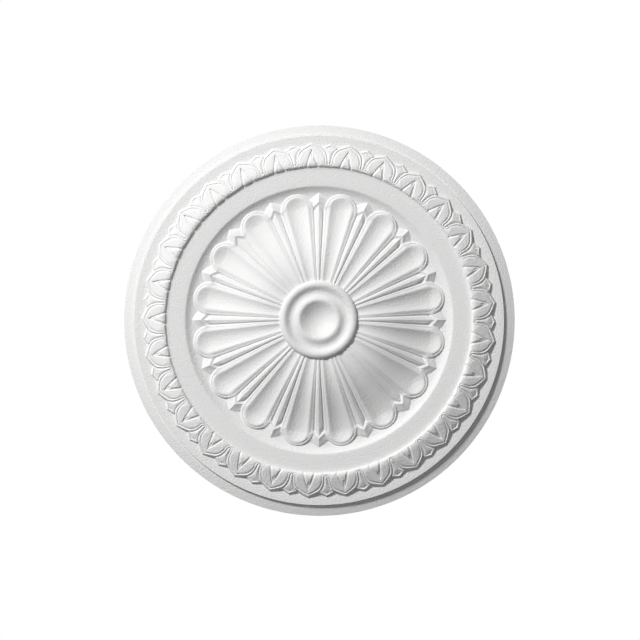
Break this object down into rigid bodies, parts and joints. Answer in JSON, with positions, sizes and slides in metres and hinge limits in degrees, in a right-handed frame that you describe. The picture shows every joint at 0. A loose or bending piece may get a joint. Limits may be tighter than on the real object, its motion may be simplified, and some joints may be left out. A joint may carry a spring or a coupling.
{
  "type": "ceiling rose",
  "caption": "Round moulded ceiling rose: a dished boss, a domed flower of fluted petals and spears, a plain ring, a sloping band of leaves and a stepped rim.",
  "frame": {"origin": "centre of the flat back face, which lies on the ceiling", "axes": "+Z is the rose's axis and points up into the ceiling; the carved face hangs below, towards -Z"},
  "size_m": [0.44, 0.44, 0.037],
  "materials": {
    "white_foam": "matte white moulded foam with a fine bead grain"
  },
  "bodies": {
    "root": {"ceiling_rose": "white_foam"}
  },
  "joints": []
}
